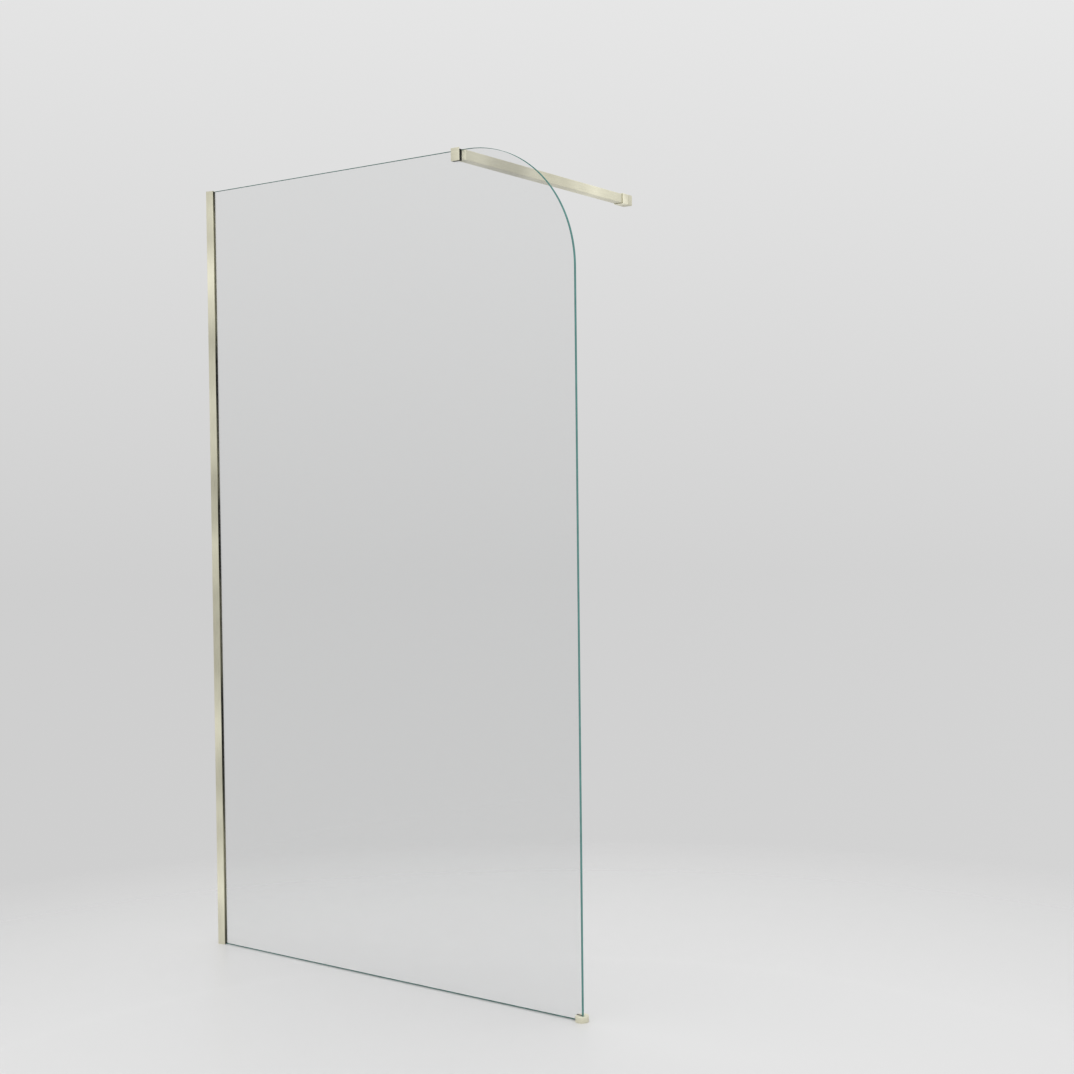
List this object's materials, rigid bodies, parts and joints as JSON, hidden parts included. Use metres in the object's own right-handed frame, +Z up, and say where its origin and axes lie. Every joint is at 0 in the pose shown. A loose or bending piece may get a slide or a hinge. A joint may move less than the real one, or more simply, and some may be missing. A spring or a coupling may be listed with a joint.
{
  "type": "walk-in shower screen",
  "caption": "Fixed walk-in shower screen: a glass panel with a rounded upper corner in a wall channel, a square support bar to the side wall and a round foot.",
  "frame": {"origin": "on the wall face of the channel, at floor level, in the middle plane of the glass", "axes": "+X along the glass away from its wall, +Y square to the glass towards the wall that carries the bar, +Z up"},
  "size_m": [1.1735, 0.766, 2.004],
  "materials": {
    "clear_glass": "clear, with polished green edges",
    "channel_brass": "brushed lengthwise, anodised pale brass",
    "brushed_brass": "brushed, pale",
    "black_rubber": "matt",
    "black_nylon": "matt, moulded",
    "steel": "stainless, machined"
  },
  "bodies": {
    "fixings": {"wall_channel": "channel_brass", "channel_cap": "channel_brass", "front_gasket": "black_rubber", "rear_gasket": "black_rubber", "setting_block": "black_nylon", "clamp_body": "brushed_brass", "clamp_jaw_block": "black_nylon", "clamp_pressure_pad": "black_nylon", "clamp_pressure_screw": "steel", "bar_lock_screw": "steel", "support_bar": "brushed_brass", "bracket_bush": "black_nylon", "bracket_sleeve": "brushed_brass", "bar_retaining_screw": "steel", "sleeve_retaining_screw": "steel", "bracket_block": "brushed_brass"},
    "panel": {"glass_panel": "clear_glass", "foot_body": "brushed_brass", "foot_liner": "black_rubber", "foot_screw": "steel"}
  },
  "joints": [
    {"name": "panel_adjust", "type": "slide", "parent": "fixings", "child": "panel", "axis": [1, 0, 0], "range_m": [-0.005, 0.005]}
  ]
}
